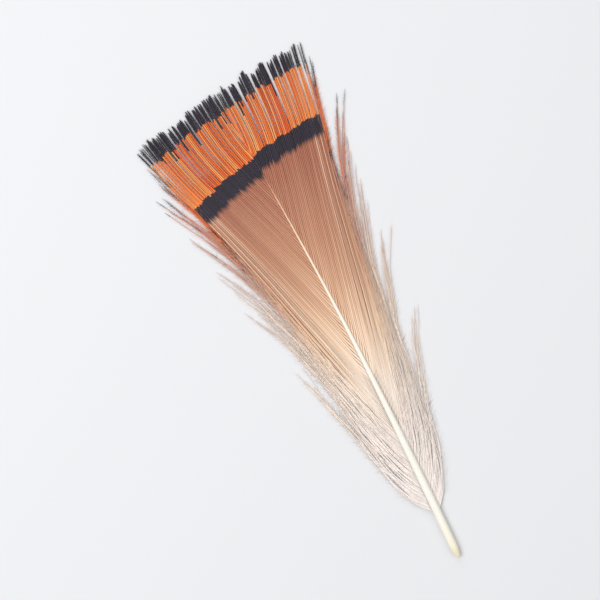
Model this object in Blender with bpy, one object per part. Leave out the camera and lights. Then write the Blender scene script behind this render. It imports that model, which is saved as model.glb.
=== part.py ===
"""Golden pheasant neck feather, lying flat with its upper face up.

The feather is one body. A tapered shaft runs along +Y from the cut quill to the tip, and a vane grows
from each side of it. Each vane is a row of barb locks that lie side by side and part at their tips.
The lines that the locks follow come from one rule: a barb leans away from the shaft by an angle that
depends on how far up the feather it is, the fan opens slowly towards the tip, and the outermost barbs
crowd together along the margin. The lowest barbs are loose and end along the margin, one above another.
The shaft arches up from the surface it lies on, and the vanes droop from it until their margins touch.
"""

import math
import random

import bmesh
import bpy

# Every size below is in millimetres. MM turns it into metres when a point is made.
MM = 0.001

# Where the end of the quill lies, so that the feather's box is centred on the origin.
QUILL_X = -0.19
QUILL_Y = -25.82

# The shaft, measured from the end of the quill.
TIP_REACH = 50.9
TIP_SLANT = 0.11
TIP_ROUNDING = 0.5
TIP_HALF_WIDTH = 9.0
SHAFT_BOW = 0.65
SHAFT_TOP = 45.5
QUILL_BARE = 4.8
QUILL_BLUNT = 1.2
QUILL_END_SHARE = 0.62
QUILL_ROUNDING_SHARE = 0.35
SHAFT_WIDTH = 0.80
SHAFT_TAPER_AT = 23.0
SHAFT_TAPER_POWER = 2.8
ARCH_HEIGHT = 1.5
ARCH_POWER = 1.5

# The shaft's section, as shares of its half width.
RIDGE_HEIGHT = 0.80
SHOULDER_HEIGHT = 0.55
SHOULDER_OUT = 0.62
KEEL_DEPTH = 0.60
KEEL_OUT = 0.55

# The lean of the barbs: steep above the quill, steady along the vane, none at the tip.
LEAN_STEADY = 0.27
LEAN_BASE = 0.75
LEAN_BASE_FADE = 3.0
LEAN_TOP = 45.0
LEAN_TOP_FADE = 1.5
FAN_START = 30.0
FAN_GROWTH = 0.0006

# The margin, as a distance from the shaft.
MARGIN_BASE = 4.2
MARGIN_FADE = 4.5
MARGIN_START = 4.2
MARGIN_FLARE_FROM = 12.0
MARGIN_FLARE = 0.0052
CROWDING = 4
RIGHT_SHARE = 0.92

# The locks.
LOCKS_A_SIDE = 29
STATIONS = 13
SPLIT_STATION = 10
NOTCH_DEPTH = 2.6
LOOSE_TOP = 12.8
LOOSE_END = 17.5
LOOSE_POWER = 0.65
LOOSE_SPLIT_SHARE = 0.5
PARTING_SPAN = 5.0
PARTING_TOP = 15.5
LOOSE_FLARE = 1.9
FLARE_FADE = 5.0
LOOSE_SLIMNESS = 0.85
LOOSE_SWAY = 0.35
LOOSE_TIP_JITTER = 1.2
FLARE_LENGTH = 13.0
TIP_SLIMNESS = 0.40
TIP_JITTER = 0.28
THICKNESS = 0.26
CROWN = 0.11
CROWN_RISE = 2.5
CROWN_FALL = 4.0
CROWN_AT_TIP = 0.3
DROOP_SHARE = 0.85
SEED = 11

# The colour and the dullness that the feather has from a step away.
TAN = (0.60, 0.33, 0.19, 1.0)
ROUGHNESS = 0.6


def shaft_x(y):
    """Sideways place of the shaft's middle, which bows slightly to the right."""
    return SHAFT_BOW * math.sin(math.pi * min(max(y / TIP_REACH, 0.0), 1.0))


def shaft_half(y):
    """Half the width of the shaft, blunt at the quill's end and hair-thin at the top."""
    half = 0.5 * SHAFT_WIDTH / (1.0 + (y / SHAFT_TAPER_AT) ** SHAFT_TAPER_POWER)
    rise = min(y / QUILL_BLUNT, 1.0)
    blunt = QUILL_END_SHARE + (1.0 - QUILL_END_SHARE) * math.sin(0.5 * math.pi * rise)
    return half * blunt


def shaft_level(y):
    """Height of the plane in which the vanes meet the shaft."""
    along = min(max((y - QUILL_BARE) / (TIP_REACH - QUILL_BARE), 0.0), 1.0)
    arch = ARCH_HEIGHT * math.sin(math.pi * along) ** ARCH_POWER
    return 0.5 * THICKNESS + KEEL_DEPTH * shaft_half(y) + arch


def lean_sum(y):
    """The lean of a barb added up from the base of the vane to the height y."""
    steady = y - LEAN_TOP_FADE * math.log1p(math.exp((y - LEAN_TOP) / LEAN_TOP_FADE))
    base = LEAN_BASE * LEAN_BASE_FADE * math.exp(-(y - QUILL_BARE) / LEAN_BASE_FADE)
    return LEAN_STEADY * steady - base


def margin(y):
    """Distance from the shaft to the margin where the outermost barbs crowd together."""
    base = MARGIN_BASE * (1.0 - math.exp(-(y - MARGIN_START) / MARGIN_FADE))
    return base + MARGIN_FLARE * max(y - MARGIN_FLARE_FROM, 0.0) ** 2


def spread(y, root):
    """Distance from the shaft, at the height y, of a barb that grows at the height root."""
    fan = 1.0 + FAN_GROWTH * max(y - FAN_START, 0.0) ** 2
    free = fan * (lean_sum(y) - lean_sum(root)) / margin(y)
    return margin(y) * free / (1.0 + free ** CROWDING) ** (1.0 / CROWDING)


def looseness(root):
    """How loose a barb is: 1 for the lowest, 0 from the coherent vane up."""
    return min(max((LOOSE_TOP - root) / (LOOSE_TOP - QUILL_BARE), 0.0), 1.0)


def tip_line(x):
    """Height of the feather's end at the sideways place x."""
    return TIP_REACH + TIP_SLANT * x - TIP_ROUNDING * (x / TIP_HALF_WIDTH) ** 2


def barb_end(side, root):
    """Height at which the barb that grows at root ends."""
    full = tip_line(side * spread(TIP_REACH, root))
    return LOOSE_END + (full - LOOSE_END) * (1.0 - looseness(root)) ** LOOSE_POWER


def split_height(root, end):
    """Height above which a lock is parted: near its end, or half way down if it is loose."""
    early = min(max((PARTING_TOP - root) / PARTING_SPAN, 0.0), 1.0)
    loose_depth = max(LOOSE_SPLIT_SHARE * (end - root), NOTCH_DEPTH)
    return end - NOTCH_DEPTH - (loose_depth - NOTCH_DEPTH) * early


def vane_level(out, y):
    """Height of the middle of the vane at a distance out from the shaft."""
    share = min(out / (DROOP_SHARE * margin(y)), 1.0)
    rest = 0.5 * THICKNESS
    return rest + (shaft_level(y) - rest) * (1.0 - share ** 2)


class Rail:
    """One line along the vane, from its root on the shaft to its end."""

    def __init__(self, side, root, extra=0.0, sway=0.0):
        self.side = side
        self.root = root
        self.sway = sway
        self.end = barb_end(side, root) + extra
        self.split = split_height(root, self.end)

    def height(self, station):
        """Height of a station: even steps up to the split, then even steps up to the end."""
        if station <= SPLIT_STATION:
            return self.root + (self.split - self.root) * station / SPLIT_STATION
        share = (station - SPLIT_STATION) / (STATIONS - SPLIT_STATION)
        return self.split + (self.end - self.split) * share

    def place(self, y):
        """Sideways place, height and level of the rail at the height y."""
        flare = LOOSE_FLARE * min(FLARE_FADE * looseness(self.root), 1.0)
        open_share = min(max((y - self.end + FLARE_LENGTH) / FLARE_LENGTH, 0.0), 1.0)
        out = spread(y, self.root) + flare * open_share ** 2
        out *= RIGHT_SHARE if self.side > 0 else 1.0
        x = shaft_x(y) + self.side * (shaft_half(self.root) + out)
        return x, y, vane_level(out, y)


class Body:
    """The feather's skin: an upper and a lower sheet that share their open edges' walls."""

    def __init__(self):
        self.bm = bmesh.new()
        self.top = {}
        self.low = {}
        self.upper_faces = []

    def point(self, x, y, z):
        """Adds one point, given from the quill's end in millimetres."""
        z = max(z, 0.0)
        return self.bm.verts.new(((x + QUILL_X) * MM, (y + QUILL_Y) * MM, z * MM))

    def pair(self, key, x, y, level, lift=0.0):
        """Adds the upper and the lower point of the vane at one place."""
        if key not in self.top:
            half = 0.5 * THICKNESS
            self.top[key] = self.point(x, y, level + lift + half)
            self.low[key] = self.point(x, y, level + lift - half)

    def sheet(self, keys, side):
        """Adds a face to both sheets. The keys run anticlockwise on the right side."""
        keys = keys if side > 0 else keys[::-1]
        self.upper_faces.append(keys)
        self.bm.faces.new([self.top[key] for key in keys])
        self.bm.faces.new([self.low[key] for key in reversed(keys)])

    def above(self, keys):
        """Adds a face to the upper sheet alone."""
        self.upper_faces.append(keys)
        self.bm.faces.new([self.top[key] for key in keys])

    def below(self, keys):
        """Adds a face to the lower sheet alone, keys anticlockwise as seen from above."""
        self.bm.faces.new([self.low[key] for key in reversed(keys)])

    def walls(self):
        """Closes the open edges between the two sheets."""
        edges = set()
        for keys in self.upper_faces:
            edges.update(zip(keys, keys[1:] + keys[:1]))
        for a, b in sorted(edges, key=str):
            if (b, a) not in edges and a in self.low and b in self.low:
                corners = [self.top[b], self.top[a], self.low[a], self.low[b]]
                self.bm.faces.new(corners)


def add_shaft(body, heights):
    """Adds the shaft's ridge and keel, with one section at each height."""
    for number, y in enumerate(heights):
        half = shaft_half(y)
        level = shaft_level(y)
        x = shaft_x(y)
        roof = level + 0.5 * THICKNESS
        floor = level - 0.5 * THICKNESS
        for side in (-1, 1):
            body.pair(("root", side, number), x + side * half, y, level)
        if number == len(heights) - 1:
            body.pair("shaft_top", x, y, level)
            continue
        body.top["ridge", number] = body.point(x, y, roof + RIDGE_HEIGHT * half)
        for side in (-1, 1):
            shoulder = x + side * SHOULDER_OUT * half
            body.top["shoulder", side, number] = body.point(shoulder, y, roof + SHOULDER_HEIGHT * half)
            keel = x + side * KEEL_OUT * half
            body.low["keel", side, number] = body.point(keel, y, floor - KEEL_DEPTH * half)

    def top_row(n):
        return [("root", 1, n), ("shoulder", 1, n), ("ridge", n), ("shoulder", -1, n), ("root", -1, n)]

    def low_row(n):
        return [("root", 1, n), ("keel", 1, n), ("keel", -1, n), ("root", -1, n)]

    last = len(heights) - 1
    for n in range(last - 1):
        for row, add in ((top_row, body.above), (low_row, body.below)):
            lower, upper = row(n), row(n + 1)
            for k in range(len(lower) - 1):
                add([lower[k], upper[k], upper[k + 1], lower[k + 1]])

    right, left, point = ("root", 1, last), ("root", -1, last), "shaft_top"
    row = top_row(last - 1)
    body.above([row[0], right, point, row[1]])
    body.above([row[1], point, row[2]])
    body.above([row[2], point, row[3]])
    body.above([row[3], point, left, row[4]])
    row = low_row(last - 1)
    body.below([row[0], right, point, row[1]])
    body.below([row[1], point, row[2]])
    body.below([row[2], point, left, row[3]])

    rim = [body.top[key] for key in top_row(0)] + [body.low[key] for key in reversed(low_row(0))]
    body.bm.faces.new(rim)


def parted(station):
    """How far a station lies past the split: 0 up to it, 1 at the tip."""
    return max(station - SPLIT_STATION, 0) / (STATIONS - SPLIT_STATION)


def edge_place(middle, edge, station, slimness):
    """Place of a lock's edge, which past the split closes in on the lock's middle towards the tip."""
    if station <= SPLIT_STATION:
        return edge.place(edge.height(station))
    share = 1.0 - slimness * math.sqrt(parted(station))
    return tuple(m + (e - m) * share for m, e in zip(middle, edge.place(middle[1])))


def swayed(place, rail, station):
    """A parted lock's point, moved sideways the more the nearer it is to the tip."""
    x, y, level = place
    return x + rail.sway * parted(station) ** 2, y, level


def crown_at(y, root, end):
    """How far the middle of a lock stands above its edges at the height y."""
    rise = min((y - root) / CROWN_RISE, 1.0)
    fall = min((end - y) / CROWN_FALL, 1.0)
    return CROWN * rise * (CROWN_AT_TIP + (1.0 - CROWN_AT_TIP) * fall)


def add_lock(body, side, middle, edges, names):
    """Adds one lock between two edge rails, parted from its neighbours above the split."""

    def key(rail, station):
        if station == 0:
            return names[rail][0]
        if rail == "middle" or station <= SPLIT_STATION:
            return names[rail][1], station
        return names[rail][1], station, names["middle"][1]

    slimness = LOOSE_SLIMNESS if looseness(middle.root) > 0.0 else TIP_SLIMNESS
    for station in range(1, STATIONS + 1):
        centre = middle.place(middle.height(station))
        point = swayed(centre, middle, station)
        body.pair(key("middle", station), *point, crown_at(point[1], middle.root, middle.end))
        if station == STATIONS:
            break
        for rail in ("outer", "inner"):
            place = edge_place(centre, edges[rail], station, slimness)
            body.pair(key(rail, station), *swayed(place, middle, station))

    for a, b in (("outer", "middle"), ("middle", "inner")):
        for n in range(STATIONS - 1):
            body.sheet([key(a, n), key(a, n + 1), key(b, n + 1), key(b, n)], side)
        n = STATIONS - 1
        body.sheet([key(a, n), key("middle", STATIONS), key(b, n)], side)


def add_vane(body, side, rails, first):
    """Adds the locks of one side, from the lowest to the highest."""
    for lock in range(LOCKS_A_SIDE):
        names = {}
        for offset, rail in enumerate(("outer", "middle", "inner")):
            number = 2 * lock + offset
            names[rail] = (("root", side, first + number), ("rail", side, number))
        edges = {"outer": rails[2 * lock], "inner": rails[2 * lock + 2]}
        add_lock(body, side, rails[2 * lock + 1], edges, names)


def add_middle_lock(body, rails, first):
    """Adds the lock that carries the shaft's line on to the tip."""
    top = 2 * LOCKS_A_SIDE
    end = tip_line(shaft_x(TIP_REACH)) + TIP_JITTER

    def key(side, station):
        if station == 0:
            return ("root", side, first + top) if side else "shaft_top"
        if station <= SPLIT_STATION or side == 0:
            return ("rail", side, top), station
        return ("rail", side, top), station, "middle"

    for station in range(1, STATIONS + 1):
        if station <= SPLIT_STATION:
            y = SHAFT_TOP + (end - NOTCH_DEPTH - SHAFT_TOP) * station / SPLIT_STATION
        else:
            y = end - NOTCH_DEPTH * (STATIONS - station) / (STATIONS - SPLIT_STATION)
        centre = (shaft_x(y), y, vane_level(0.0, y))
        body.pair(key(0, station), *centre, crown_at(y, SHAFT_TOP, end))
        if station < STATIONS:
            for side in (-1, 1):
                place = edge_place(centre, rails[side][top], station, TIP_SLIMNESS)
                body.pair(key(side, station), *place)

    for n in range(STATIONS - 1):
        body.sheet([key(1, n), key(1, n + 1), key(0, n + 1), key(0, n)], 1)
        body.sheet([key(0, n), key(0, n + 1), key(-1, n + 1), key(-1, n)], 1)
    n = STATIONS - 1
    body.sheet([key(1, n), key(0, STATIONS), key(0, n)], 1)
    body.sheet([key(0, n), key(0, STATIONS), key(-1, n)], 1)


def feather_material():
    """A matt horn-like surface in the tan of the middle of the vane."""
    material = bpy.data.materials.new("feather")
    material.use_nodes = True
    shader = material.node_tree.nodes["Principled BSDF"]
    shader.inputs["Base Color"].default_value = TAN
    shader.inputs["Roughness"].default_value = ROUGHNESS
    shader.inputs["Metallic"].default_value = 0.0
    return material


def make_rail(chance, side, number, root):
    """Makes a rail. Odd ones run along the middle of a lock and end a little unevenly."""
    if number % 2 == 0:
        return Rail(side, root)
    if looseness(root) > 0.0:
        extra = chance.uniform(-LOOSE_TIP_JITTER, 0.0)
        return Rail(side, root, extra, chance.uniform(-LOOSE_SWAY, LOOSE_SWAY))
    return Rail(side, root, chance.uniform(-TIP_JITTER, TIP_JITTER))


def build_feather():
    """Builds the feather's one body from the shaft and the two vanes."""
    chance = random.Random(SEED)
    step = (SHAFT_TOP - QUILL_BARE) / (2 * LOCKS_A_SIDE)
    roots = [QUILL_BARE + step * number for number in range(2 * LOCKS_A_SIDE + 1)]
    quill_middle = 0.5 * (QUILL_BLUNT + QUILL_BARE)
    quill = [0.0, QUILL_ROUNDING_SHARE * QUILL_BLUNT, QUILL_BLUNT, quill_middle]
    rails = {side: [make_rail(chance, side, n, root) for n, root in enumerate(roots)] for side in (-1, 1)}

    body = Body()
    add_shaft(body, quill + roots)
    for side in (-1, 1):
        add_vane(body, side, rails[side], len(quill))
    add_middle_lock(body, rails, len(quill))
    body.walls()
    bmesh.ops.triangulate(body.bm, faces=body.bm.faces[:])
    bmesh.ops.recalc_face_normals(body.bm, faces=body.bm.faces[:])

    mesh = bpy.data.meshes.new("feather")
    body.bm.to_mesh(mesh)
    body.bm.free()
    mesh.materials.append(feather_material())
    feather = bpy.data.objects.new("feather", mesh)
    bpy.context.scene.collection.objects.link(feather)


for old in list(bpy.data.objects):
    bpy.data.objects.remove(old, do_unlink=True)
build_feather()
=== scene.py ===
"""Looks of a golden pheasant neck feather that lies flat with its upper face up.

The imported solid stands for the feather's form. Here it gives way to the real make of a feather: a horn
shaft, two vanes of separate barbs that are webbed below the inner bar and free above it, and a loose,
downy base. Every barb follows the same lines as the solid's locks. Sizes are in millimetres, measured from
the end of the quill, with y along the shaft and x to the feather's right, seen from above.
"""

import logging
import math
import random
from dataclasses import dataclass, field
from enum import Enum

import bmesh
import bpy
import numpy as np
from mathutils import Matrix, Vector

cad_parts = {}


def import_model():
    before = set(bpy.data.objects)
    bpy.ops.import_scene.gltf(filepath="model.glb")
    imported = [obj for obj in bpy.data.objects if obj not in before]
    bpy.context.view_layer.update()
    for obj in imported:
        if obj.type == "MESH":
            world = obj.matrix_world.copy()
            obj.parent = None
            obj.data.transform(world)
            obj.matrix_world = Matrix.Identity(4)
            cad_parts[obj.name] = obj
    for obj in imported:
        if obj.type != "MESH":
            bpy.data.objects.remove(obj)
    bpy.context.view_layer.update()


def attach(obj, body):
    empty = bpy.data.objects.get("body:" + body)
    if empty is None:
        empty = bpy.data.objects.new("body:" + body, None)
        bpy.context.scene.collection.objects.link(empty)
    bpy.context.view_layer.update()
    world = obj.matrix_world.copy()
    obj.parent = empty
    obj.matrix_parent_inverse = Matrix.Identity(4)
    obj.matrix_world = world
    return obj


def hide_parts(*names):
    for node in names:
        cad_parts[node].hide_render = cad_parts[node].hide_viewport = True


# The feather's sizes are in millimetres. MM turns them into metres.
MM = 0.001
# No barb or barbule dips lower than this above the floor.
LEAST_HEIGHT = 0.004
BODY = "root"
NODE = "feather"

log = logging.getLogger("feather")


class Side(Enum):
    """The side of the shaft that a vane grows from, as the sign of its x."""

    LEFT = -1
    RIGHT = 1


class Slot(Enum):
    """The record's material slots."""

    VANE = "vane"
    SHAFT = "shaft"


def srgb(red: int, green: int, blue: int) -> tuple[float, float, float, float]:
    """Turns a colour as seen on a screen into the linear colour that shaders use.

    Args:
        red: Red, from 0 to 255.
        green: Green, from 0 to 255.
        blue: Blue, from 0 to 255.

    Returns:
        The linear colour with an alpha of 1.
    """
    shares = [part / 255.0 for part in (red, green, blue)]
    linear = [s / 12.92 if s <= 0.04045 else ((s + 0.055) / 1.055) ** 2.4 for s in shares]
    return linear[0], linear[1], linear[2], 1.0


@dataclass(frozen=True)
class Lock:
    """One of the solid's locks: where its middle grows and ends, where it parts and how far it sways."""

    root: float
    end: float
    split: float
    sway: float

    def parted(self, y: np.ndarray) -> np.ndarray:
        """How far the heights y lie past the split: 0 up to it, 1 at the end."""
        return np.clip((y - self.split) / (self.end - self.split), 0.0, 1.0)


@dataclass(frozen=True)
class Plan:
    """The feather's driving sizes and the lines that its barbs follow."""

    quill_x: float = -0.19
    quill_y: float = -25.82
    tip_reach: float = 50.9
    tip_slant: float = 0.11
    tip_rounding: float = 0.5
    tip_half_width: float = 9.0
    shaft_bow: float = 0.65
    shaft_top: float = 45.5
    quill_bare: float = 4.8
    quill_blunt: float = 1.2
    quill_end_share: float = 0.62
    shaft_width: float = 0.80
    taper_at: float = 23.0
    taper_power: float = 2.8
    arch_height: float = 1.5
    arch_power: float = 1.5
    keel_depth: float = 0.60
    thickness: float = 0.26
    lean_steady: float = 0.27
    lean_base: float = 0.75
    lean_base_fade: float = 3.0
    lean_top: float = 45.0
    lean_top_fade: float = 1.5
    fan_start: float = 30.0
    fan_growth: float = 0.0006
    margin_base: float = 4.2
    margin_fade: float = 4.5
    margin_start: float = 4.2
    margin_flare_from: float = 12.0
    margin_flare: float = 0.0052
    crowding: float = 4.0
    right_share: float = 0.92
    loose_top: float = 12.8
    loose_end: float = 17.5
    loose_power: float = 0.65
    loose_flare: float = 1.9
    flare_fade: float = 5.0
    flare_length: float = 13.0
    droop_share: float = 0.85
    locks_a_side: int = 29
    notch_depth: float = 2.6
    loose_split_share: float = 0.5
    parting_span: float = 5.0
    parting_top: float = 15.5
    loose_sway: float = 0.35
    loose_tip_jitter: float = 1.2
    tip_jitter: float = 0.28
    seed: int = 11

    def world(self, places: np.ndarray) -> np.ndarray:
        """Turns places in millimetres from the quill's end into metres in the frame."""
        return (places + np.array([self.quill_x, self.quill_y, 0.0])) * MM

    def shaft_x(self, y: np.ndarray) -> np.ndarray:
        """Sideways place of the shaft's middle at the heights y."""
        return self.shaft_bow * np.sin(math.pi * np.clip(y / self.tip_reach, 0.0, 1.0))

    def shaft_half(self, y: np.ndarray) -> np.ndarray:
        """Half the width of the shaft.

        Args:
            y: The heights.

        Returns:
            The half widths.
        """
        half = 0.5 * self.shaft_width / (1.0 + (y / self.taper_at) ** self.taper_power)
        rise = np.minimum(y / self.quill_blunt, 1.0)
        blunt = self.quill_end_share + (1.0 - self.quill_end_share) * np.sin(0.5 * math.pi * rise)
        return half * blunt

    def shaft_level(self, y: np.ndarray) -> np.ndarray:
        """Height above the floor of the plane in which the vanes meet the shaft.

        Args:
            y: The heights along the shaft.

        Returns:
            The levels.
        """
        along = np.clip((y - self.quill_bare) / (self.tip_reach - self.quill_bare), 0.0, 1.0)
        arch = self.arch_height * np.sin(math.pi * along) ** self.arch_power
        return 0.5 * self.thickness + self.keel_depth * self.shaft_half(y) + arch

    def lean_sum(self, y: np.ndarray) -> np.ndarray:
        """A barb's lean away from the shaft, added up from the base of the vane.

        Args:
            y: The heights up to which it is added.

        Returns:
            The sums.
        """
        steady = y - self.lean_top_fade * np.log1p(np.exp((y - self.lean_top) / self.lean_top_fade))
        base = self.lean_base * self.lean_base_fade * np.exp(-(y - self.quill_bare) / self.lean_base_fade)
        return self.lean_steady * steady - base

    def margin(self, y: np.ndarray) -> np.ndarray:
        """Distance from the shaft to the margin where the outermost barbs crowd together."""
        base = self.margin_base * (1.0 - np.exp(-(y - self.margin_start) / self.margin_fade))
        return base + self.margin_flare * np.maximum(y - self.margin_flare_from, 0.0) ** 2

    def spread(self, y: np.ndarray, root: float) -> np.ndarray:
        """Distance of a barb from the shaft.

        Args:
            y: The heights.
            root: Where the barb grows.

        Returns:
            The distances.
        """
        fan = 1.0 + self.fan_growth * np.maximum(y - self.fan_start, 0.0) ** 2
        free = np.maximum(fan * (self.lean_sum(y) - self.lean_sum(root)) / self.margin(y), 0.0)
        return self.margin(y) * free / (1.0 + free ** self.crowding) ** (1.0 / self.crowding)

    def looseness(self, root: float) -> float:
        """How loose a barb is: 1 for the lowest, 0 from the coherent vane up."""
        return min(max((self.loose_top - root) / (self.loose_top - self.quill_bare), 0.0), 1.0)

    def tip_line(self, x: float) -> float:
        """Height of the feather's end at the sideways place x."""
        return self.tip_reach + self.tip_slant * x - self.tip_rounding * (x / self.tip_half_width) ** 2

    def barb_end(self, side: Side, root: float) -> float:
        """Height at which a barb ends.

        Args:
            side: The side that it grows on.
            root: Where it grows.

        Returns:
            The height.
        """
        full = self.tip_line(side.value * float(self.spread(self.tip_reach, root)))
        held = (1.0 - self.looseness(root)) ** self.loose_power
        return self.loose_end + (full - self.loose_end) * held

    def split_height(self, root: float, end: float) -> float:
        """Height above which a lock is parted from its neighbour.

        Args:
            root: Where the lock's middle grows.
            end: Where it ends.

        Returns:
            The height.
        """
        early = min(max((self.parting_top - root) / self.parting_span, 0.0), 1.0)
        loose_depth = max(self.loose_split_share * (end - root), self.notch_depth)
        return end - self.notch_depth - (loose_depth - self.notch_depth) * early

    def lock_depth(self) -> float:
        """The stretch of the shaft that one lock grows from."""
        return (self.shaft_top - self.quill_bare) / self.locks_a_side

    def locks(self) -> dict[Side, list["Lock"]]:
        """The solid's locks, from the lowest up, with the same chance in their ends.

        Returns:
            Each side's locks.
        """
        chance = random.Random(self.seed)
        made: dict[Side, list[Lock]] = {}
        for side in (Side.LEFT, Side.RIGHT):
            made[side] = []
            for number in range(self.locks_a_side):
                root = self.quill_bare + self.lock_depth() * (number + 0.5)
                sway = 0.0
                if self.looseness(root) > 0.0:
                    extra = chance.uniform(-self.loose_tip_jitter, 0.0)
                    sway = chance.uniform(-self.loose_sway, self.loose_sway)
                else:
                    extra = chance.uniform(-self.tip_jitter, self.tip_jitter)
                end = self.barb_end(side, root) + extra
                made[side].append(Lock(root, end, self.split_height(root, end), sway))
        return made

    def flare(self, y: np.ndarray, root: float, end: float) -> np.ndarray:
        """How far a loose barb stands off from the vane near its free end."""
        amount = self.loose_flare * min(self.flare_fade * self.looseness(root), 1.0)
        return amount * np.clip((y - end + self.flare_length) / self.flare_length, 0.0, 1.0) ** 2

    def vane_level(self, out: np.ndarray, y: np.ndarray) -> np.ndarray:
        """Height of the vane's middle plane.

        Args:
            out: The distances from the shaft.
            y: The heights along it.

        Returns:
            The levels.
        """
        share = np.minimum(out / (self.droop_share * self.margin(y)), 1.0)
        rest = 0.5 * self.thickness
        return rest + (self.shaft_level(y) - rest) * (1.0 - share ** 2)

    def side_share(self, side: Side) -> float:
        """The share of the plain distance that a side keeps: the right vane is a little narrower."""
        return self.right_share if side is Side.RIGHT else 1.0


class Wire:
    """One output of a shader tree, with the operators that shader maths uses."""

    def __init__(self, graph: "Graph", socket: bpy.types.NodeSocket) -> None:
        """Wraps a socket of the graph's tree."""
        self.graph = graph
        self.socket = socket

    def __add__(self, other: "Wire | float") -> "Wire":
        """Returns the sum."""
        return self.graph.maths("ADD", self, other)

    def __sub__(self, other: "Wire | float") -> "Wire":
        """Returns the difference."""
        return self.graph.maths("SUBTRACT", self, other)

    def __mul__(self, other: "Wire | float") -> "Wire":
        """Returns the product."""
        return self.graph.maths("MULTIPLY", self, other)

    def __truediv__(self, other: "Wire | float") -> "Wire":
        """Returns the quotient."""
        return self.graph.maths("DIVIDE", self, other)

    def __radd__(self, other: float) -> "Wire":
        """Returns the sum with a number on the left."""
        return self.graph.maths("ADD", other, self)

    def __rsub__(self, other: float) -> "Wire":
        """Returns a number minus this."""
        return self.graph.maths("SUBTRACT", other, self)

    def __rmul__(self, other: float) -> "Wire":
        """Returns the product with a number on the left."""
        return self.graph.maths("MULTIPLY", other, self)

    def clamp(self) -> "Wire":
        """Returns this held between 0 and 1."""
        return self.graph.maths("MINIMUM", self.graph.maths("MAXIMUM", self, 0.0), 1.0)

    def size(self) -> "Wire":
        """Returns this without its sign."""
        return self.graph.maths("ABSOLUTE", self)

    def wave(self) -> "Wire":
        """Returns the sine of this."""
        return self.graph.maths("SINE", self)

    def above(self, edge: "Wire | float", softness: float) -> "Wire":
        """Returns a mask that turns from 0 to 1 as this passes an edge.

        Args:
            edge: Where the mask is a half.
            softness: The width of the change.

        Returns:
            The mask.
        """
        return ((self - edge) / softness + 0.5).clamp()


class Graph:
    """A material's node tree, built from expressions."""

    def __init__(self, name: str) -> None:
        """Starts a material with one Principled shader.

        Args:
            name: The material's name.
        """
        self.material = bpy.data.materials.new(name)
        self.material.use_nodes = True
        self.tree = self.material.node_tree
        self.shader = self.tree.nodes["Principled BSDF"]

    def node(self, kind: str, settings: dict, inputs: dict) -> bpy.types.Node:
        """Adds a node.

        Args:
            kind: The node's type.
            settings: Its properties, which are set first.
            inputs: Its sockets, by name or number, and the value or wire that each gets.

        Returns:
            The node.
        """
        node = self.tree.nodes.new(kind)
        for name, value in settings.items():
            setattr(node, name, value)
        for key, value in inputs.items():
            if isinstance(value, Wire):
                self.tree.links.new(value.socket, node.inputs[key])
            else:
                node.inputs[key].default_value = value
        return node

    def maths(self, operation: str, *values: "Wire | float") -> Wire:
        """Adds a Math node for an operation on wires and numbers."""
        node = self.node("ShaderNodeMath", {"operation": operation}, dict(enumerate(values)))
        return Wire(self, node.outputs[0])

    def mix(self, share: "Wire | float", first: "Wire | tuple", second: "Wire | tuple",
            blend: str = "MIX") -> Wire:
        """Mixes two colours. The node's colours are its inputs 6 and 7 and its output 2.

        Args:
            share: The share of the second colour.
            first: The first colour.
            second: The second colour.
            blend: The way of mixing.

        Returns:
            The mixed colour.
        """
        settings = {"data_type": "RGBA", "blend_type": blend}
        node = self.node("ShaderNodeMix", settings, {0: share, 6: first, 7: second})
        return Wire(self, node.outputs[2])

    def ramp(self, share: Wire, stops: list[tuple[float, tuple]]) -> Wire:
        """Turns a share into a colour.

        Args:
            share: The share, from 0 to 1.
            stops: The places, from 0 to 1, and their colours.

        Returns:
            The colour.
        """
        node = self.node("ShaderNodeValToRGB", {}, {0: share})
        ready = len(node.color_ramp.elements)
        for number, (place, colour) in enumerate(sorted(stops)):
            if number < ready:
                stop = node.color_ramp.elements[number]
                stop.position = place
            else:
                stop = node.color_ramp.elements.new(place)
            stop.color = colour
        return Wire(self, node.outputs[0])

    def attribute(self, name: str) -> tuple[Wire, Wire, Wire]:
        """Reads a vector that the mesh carries, as its three parts."""
        node = self.node("ShaderNodeAttribute", {"attribute_name": name}, {})
        return self.split(Wire(self, node.outputs["Vector"]))

    def split(self, vector: Wire) -> tuple[Wire, Wire, Wire]:
        """Splits a vector into its three parts."""
        node = self.node("ShaderNodeSeparateXYZ", {}, {0: vector})
        return Wire(self, node.outputs[0]), Wire(self, node.outputs[1]), Wire(self, node.outputs[2])

    def join(self, x: "Wire | float", y: "Wire | float", z: "Wire | float") -> Wire:
        """Joins three parts into a vector."""
        node = self.node("ShaderNodeCombineXYZ", {}, {0: x, 1: y, 2: z})
        return Wire(self, node.outputs[0])

    def place(self) -> Wire:
        """Reads the place on the object, in metres."""
        return Wire(self, self.node("ShaderNodeTexCoord", {}, {}).outputs["Object"])

    def noise(self, vector: Wire, scale: float, detail: float = 2.0) -> Wire:
        """Reads a noise around 0.5 at a vector."""
        node = self.node("ShaderNodeTexNoise", {}, {"Vector": vector, "Scale": scale, "Detail": detail})
        return Wire(self, node.outputs["Fac"])

    def bump(self, height: Wire, strength: float, distance: float) -> Wire:
        """Turns a height into a normal.

        Args:
            height: The height, from 0 to 1.
            strength: How much of the relief shows.
            distance: The depth of the relief in metres.

        Returns:
            The normal.
        """
        inputs = {"Height": height, "Strength": strength, "Distance": distance}
        return Wire(self, self.node("ShaderNodeBump", {}, inputs).outputs[0])

    def feed(self, inputs: dict) -> None:
        """Sets the Principled shader's sockets.

        Args:
            inputs: The value or wire that each socket gets, by its name.
        """
        for key, value in inputs.items():
            if isinstance(value, Wire):
                self.tree.links.new(value.socket, self.shader.inputs[key])
            else:
                self.shader.inputs[key].default_value = value


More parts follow.
